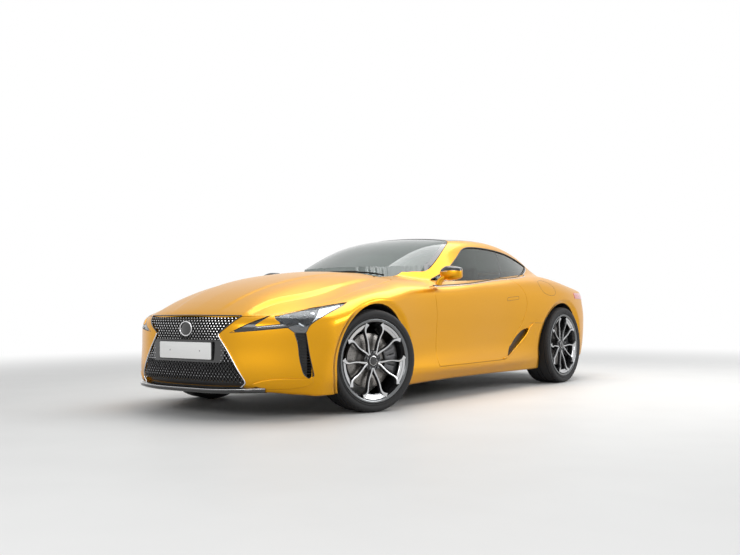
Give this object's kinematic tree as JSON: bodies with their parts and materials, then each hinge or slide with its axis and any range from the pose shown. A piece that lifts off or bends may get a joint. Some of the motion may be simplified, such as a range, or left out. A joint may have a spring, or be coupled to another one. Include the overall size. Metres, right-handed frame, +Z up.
{
  "type": "coupe car",
  "caption": "Low two-door coupe with a long hood, wide spindle-shaped grille, arrow headlamps, flush door handles and large alloy wheels.",
  "frame": {"origin": "on the ground under the middle of the car's length and width", "axes": "+Z up, the nose points to -Y, +X is the car's left side"},
  "size_m": [2.09, 4.76, 1.346],
  "materials": {
    "body_paint": "gloss",
    "roof_black": "gloss",
    "tinted_glass": "gloss",
    "lamp_glass": "gloss",
    "lamp_red": "gloss",
    "grille_black": "gloss",
    "trim_black": "gloss",
    "underbody": "matte",
    "chassis_metal": "satin",
    "brake_iron": "satin",
    "light_alloy": "satin",
    "steel": "satin",
    "tyre_rubber": "matte",
    "seat_leather": "satin",
    "cabin_plastic": "matte"
  },
  "bodies": {
    "body_shell": {"floor_pan": "underbody", "front_rails": "underbody", "firewall": "underbody", "rear_bulkhead": "underbody", "side_frame_left": "body_paint", "side_frame_right": "body_paint", "front_fenders": "body_paint", "front_bumper": "body_paint", "rear_bumper": "body_paint", "roof_panel": "roof_black", "grille": "grille_black", "headlamps": "lamp_glass", "tail_lamps": "lamp_red", "windshield": "tinted_glass", "rear_window": "tinted_glass", "quarter_glass": "tinted_glass", "arch_liners": "underbody", "engine_block": "chassis_metal", "front_subframe": "chassis_metal", "rear_subframe": "chassis_metal", "exhaust": "steel", "knuckle_rear_left": "chassis_metal", "knuckle_rear_right": "chassis_metal", "front_seats": "seat_leather", "rear_seat": "seat_leather", "dashboard": "cabin_plastic", "center_console": "cabin_plastic"},
    "left_door": {"door_left": "body_paint", "door_glass_left": "tinted_glass", "mirror_left": "trim_black"},
    "right_door": {"door_right": "body_paint", "door_glass_right": "tinted_glass", "mirror_right": "trim_black"},
    "hood_lid": {"hood": "body_paint"},
    "trunk": {"trunk_lid": "body_paint"},
    "steering": {"steering_wheel": "seat_leather"},
    "left_upright": {"knuckle_front_left": "chassis_metal"},
    "right_upright": {"knuckle_front_right": "chassis_metal"},
    "roller_front_left": {"tyre_front_left": "tyre_rubber", "wheel_front_left": "light_alloy", "disc_front_left": "brake_iron"},
    "roller_front_right": {"tyre_front_right": "tyre_rubber", "wheel_front_right": "light_alloy", "disc_front_right": "brake_iron"},
    "roller_rear_left": {"tyre_rear_left": "tyre_rubber", "wheel_rear_left": "light_alloy", "disc_rear_left": "brake_iron"},
    "roller_rear_right": {"tyre_rear_right": "tyre_rubber", "wheel_rear_right": "light_alloy", "disc_rear_right": "brake_iron"}
  },
  "joints": [
    {"name": "open_left_door", "type": "hinge", "parent": "body_shell", "child": "left_door", "pos_m": [0.868, -0.62, 0.66], "axis": [0, 0, -1], "range_deg": [0, 65]},
    {"name": "open_right_door", "type": "hinge", "parent": "body_shell", "child": "right_door", "pos_m": [-0.868, -0.62, 0.66], "axis": [0, 0, 1], "range_deg": [0, 65]},
    {"name": "lift_hood", "type": "hinge", "parent": "body_shell", "child": "hood_lid", "pos_m": [0, -0.968, 0.902], "axis": [-1, 0, 0], "range_deg": [0, 55]},
    {"name": "lift_trunk_lid", "type": "hinge", "parent": "body_shell", "child": "trunk", "pos_m": [0, 1.9, 0.915], "axis": [1, 0, 0], "range_deg": [0, 70]},
    {"name": "steer_left", "type": "hinge", "parent": "body_shell", "child": "left_upright", "pos_m": [0.8, -1.45, 0.355], "axis": [0, 0, 1], "range_deg": [-17, 49]},
    {"name": "steer_right", "type": "hinge", "parent": "body_shell", "child": "right_upright", "pos_m": [-0.8, -1.45, 0.355], "axis": [0, 0, 1], "range_deg": [-17, 49]},
    {"name": "turn_steering_wheel", "type": "hinge", "parent": "body_shell", "child": "steering", "pos_m": [0.37, -0.19, 0.8], "axis": [0, 0.9135, 0.4067], "range_deg": [-221, 637]},
    {"name": "roll_front_left", "type": "hinge", "parent": "left_upright", "child": "roller_front_left", "pos_m": [0.8, -1.45, 0.355], "axis": [0.9613, -0.2756, 0], "continuous": true},
    {"name": "roll_front_right", "type": "hinge", "parent": "right_upright", "child": "roller_front_right", "pos_m": [-0.8, -1.45, 0.355], "axis": [0.9613, -0.2756, 0], "continuous": true},
    {"name": "roll_rear_left", "type": "hinge", "parent": "body_shell", "child": "roller_rear_left", "pos_m": [0.8025, 1.42, 0.355], "axis": [1, 0, 0], "continuous": true},
    {"name": "roll_rear_right", "type": "hinge", "parent": "body_shell", "child": "roller_rear_right", "pos_m": [-0.8025, 1.42, 0.355], "axis": [1, 0, 0], "continuous": true}
  ],
  "couplings": [
    {"joint": "steer_right", "follows": "steer_left", "ratio": 1},
    {"joint": "turn_steering_wheel", "follows": "steer_left", "ratio": 13}
  ]
}
